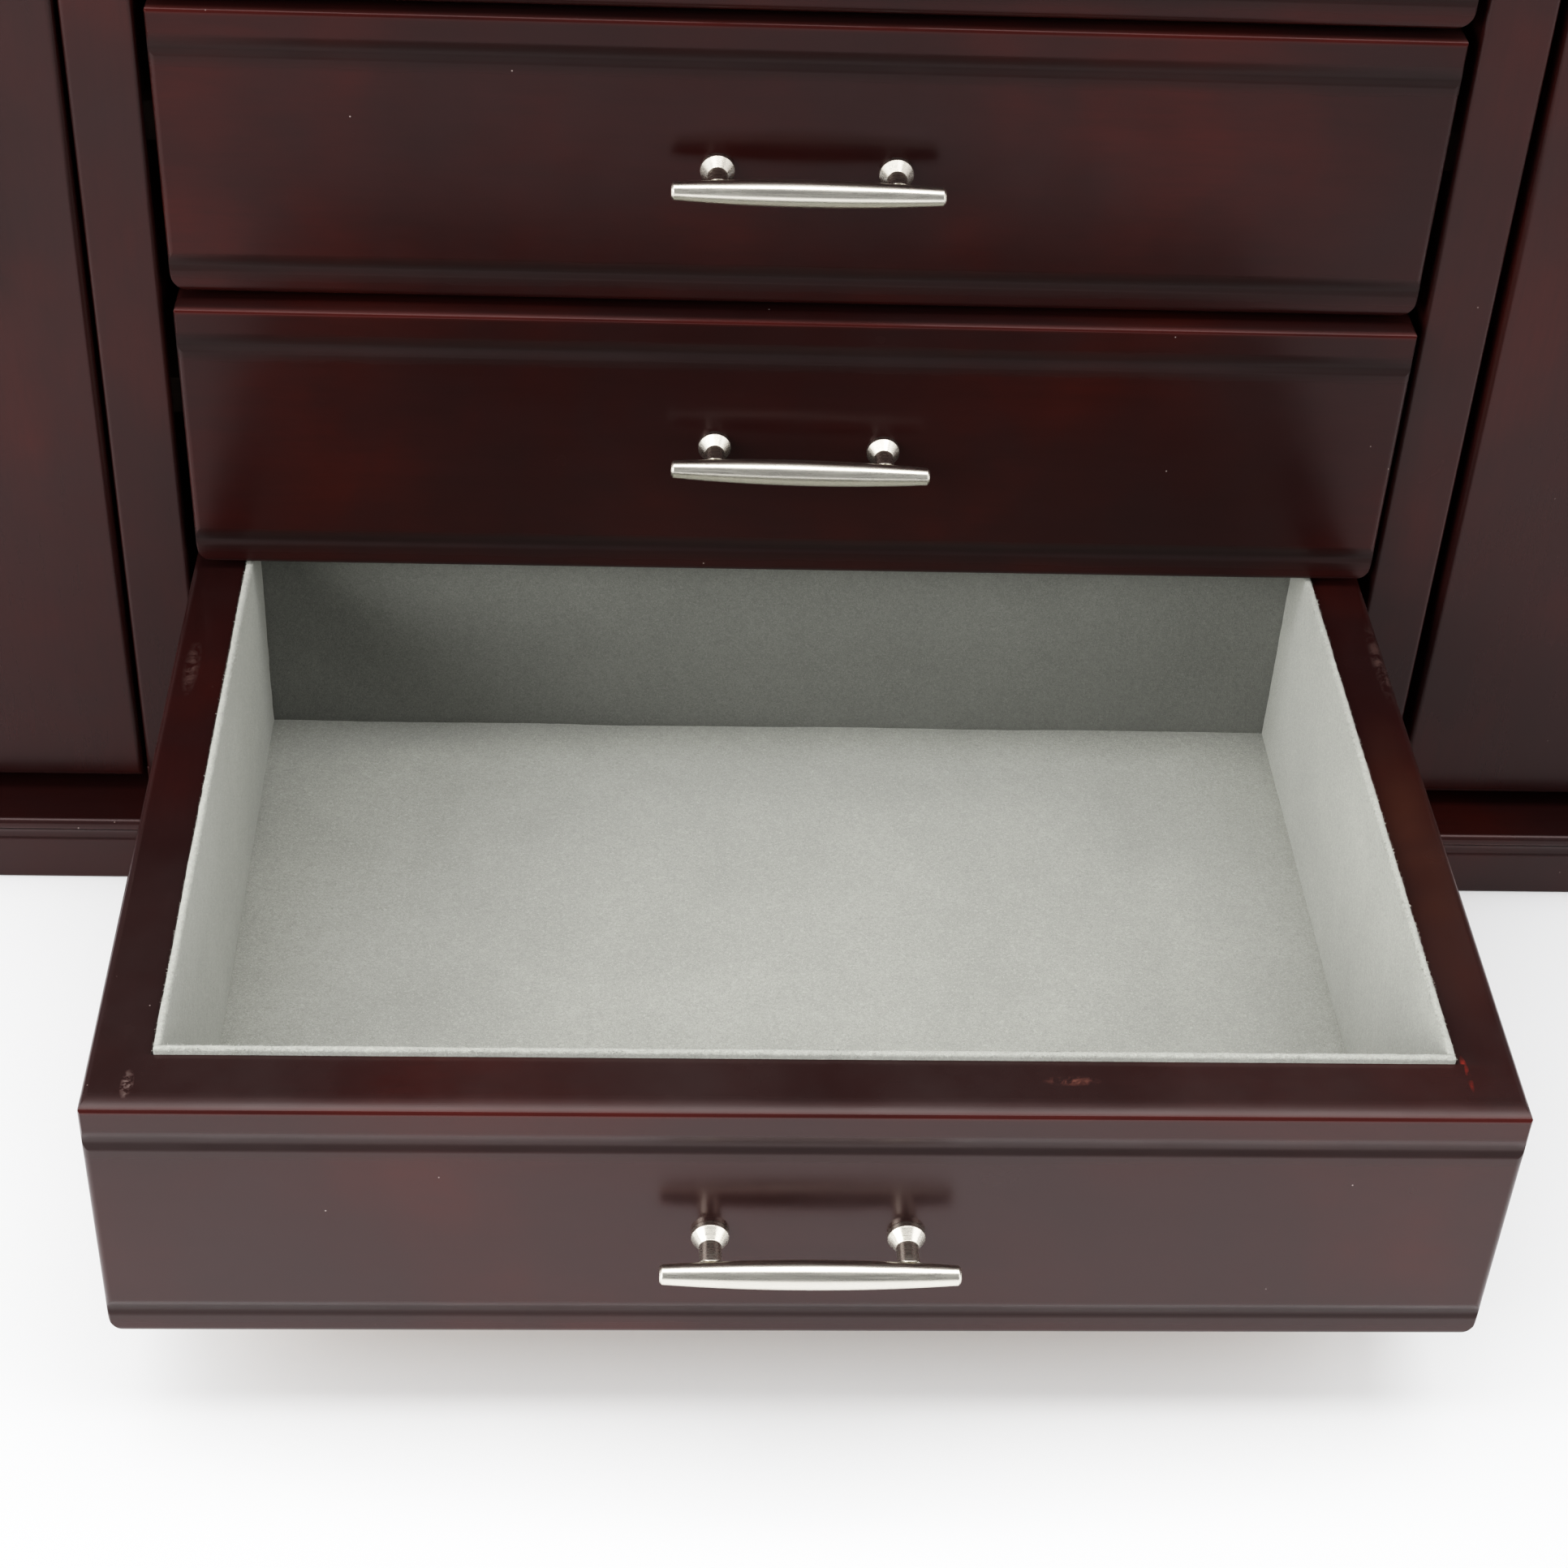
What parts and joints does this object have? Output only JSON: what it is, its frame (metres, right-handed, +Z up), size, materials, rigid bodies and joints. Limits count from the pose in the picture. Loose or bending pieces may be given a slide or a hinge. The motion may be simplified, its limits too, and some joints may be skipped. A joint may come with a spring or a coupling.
{
  "type": "jewellery chest",
  "caption": "Wooden jewellery chest with felt-lined drawers and bar pulls, swing-out necklace doors at the sides, and a lift-up mirrored lid over a lined tray.",
  "frame": {"origin": "on the underside of the front plinth rail, centred left to right, in the plane of the carcass front (the face of the stiles)", "axes": "+X to the chest's right as seen from the front, +Y towards its back, +Z up; the drawers slide out along -Y"},
  "size_m": [0.4, 0.3476, 0.3198],
  "materials": {
    "red_lacquer": "dark red-brown stain under semi-gloss lacquer",
    "bare_wood": "plain hardwood strip",
    "panel_wood": "thin plywood",
    "felt": "grey-green velour felt on thin board",
    "satin_nickel": "satin nickel plate",
    "screw_steel": "zinc plated",
    "mirror": "silvered glass"
  },
  "bodies": {
    "carcass": {"plinth": "red_lacquer", "carcass_floor": "red_lacquer", "partitions": "red_lacquer", "outer_sides": "red_lacquer", "back_panel": "red_lacquer", "tray_deck": "red_lacquer", "tray_rails": "red_lacquer", "wing_tops": "red_lacquer", "runners": "bare_wood", "carcass_screws": "screw_steel", "tray_lining": "felt", "ring_rolls": "felt", "wing_linings": "felt", "hook_rails": "red_lacquer", "necklace_hooks": "satin_nickel", "hinge_frames": "satin_nickel", "hinge_pins": "satin_nickel"},
    "drawer_1": {"drawer_1_front": "red_lacquer", "drawer_1_walls": "red_lacquer", "drawer_1_bottom": "panel_wood", "drawer_1_lining": "felt", "drawer_1_pull_bar": "satin_nickel", "drawer_1_pull_posts": "satin_nickel", "drawer_1_screws": "screw_steel"},
    "drawer_2": {"drawer_2_front": "red_lacquer", "drawer_2_walls": "red_lacquer", "drawer_2_bottom": "panel_wood", "drawer_2_lining": "felt", "drawer_2_pull_bar": "satin_nickel", "drawer_2_pull_posts": "satin_nickel", "drawer_2_screws": "screw_steel"},
    "drawer_3": {"drawer_3_front": "red_lacquer", "drawer_3_walls": "red_lacquer", "drawer_3_bottom": "panel_wood", "drawer_3_lining": "felt", "drawer_3_pull_bar": "satin_nickel", "drawer_3_pull_posts": "satin_nickel", "drawer_3_screws": "screw_steel"},
    "drawer_4": {"drawer_4_front": "red_lacquer", "drawer_4_walls": "red_lacquer", "drawer_4_bottom": "panel_wood", "drawer_4_lining": "felt", "drawer_4_pull_bar": "satin_nickel", "drawer_4_pull_posts": "satin_nickel", "drawer_4_screws": "screw_steel"},
    "left_door": {"left_door_panel": "red_lacquer", "left_door_leaves": "satin_nickel", "left_door_pull_bar": "satin_nickel", "left_door_pull_posts": "satin_nickel", "left_door_screws": "screw_steel"},
    "right_door": {"right_door_panel": "red_lacquer", "right_door_leaves": "satin_nickel", "right_door_pull_bar": "satin_nickel", "right_door_pull_posts": "satin_nickel", "right_door_screws": "screw_steel"},
    "lid": {"lid_board": "red_lacquer", "lid_mirror": "mirror", "lid_lining": "felt", "lid_leaves": "satin_nickel", "lid_screws": "screw_steel"}
  },
  "joints": [
    {"name": "drawer_1_slide", "type": "slide", "parent": "carcass", "child": "drawer_1", "axis": [0, -1, 0], "range_m": [-0.1473, 0.0017]},
    {"name": "drawer_2_slide", "type": "slide", "parent": "carcass", "child": "drawer_2", "axis": [0, -1, 0], "range_m": [-0.0029, 0.1461]},
    {"name": "drawer_3_slide", "type": "slide", "parent": "carcass", "child": "drawer_3", "axis": [0, -1, 0], "range_m": [0, 0.149]},
    {"name": "drawer_4_slide", "type": "slide", "parent": "carcass", "child": "drawer_4", "axis": [0, -1, 0], "range_m": [0, 0.149]},
    {"name": "left_door_hinge", "type": "hinge", "parent": "carcass", "child": "left_door", "pos_m": [-0.1917, 0.0123, 0.16], "axis": [0, 0, -1], "range_deg": [0, 105]},
    {"name": "right_door_hinge", "type": "hinge", "parent": "carcass", "child": "right_door", "pos_m": [0.1917, 0.0123, 0.16], "axis": [0, 0, 1], "range_deg": [0, 105]},
    {"name": "lid_hinge", "type": "hinge", "parent": "carcass", "child": "lid", "pos_m": [0, 0.1857, 0.3004], "axis": [-1, 0, 0], "range_deg": [0, 95]}
  ]
}
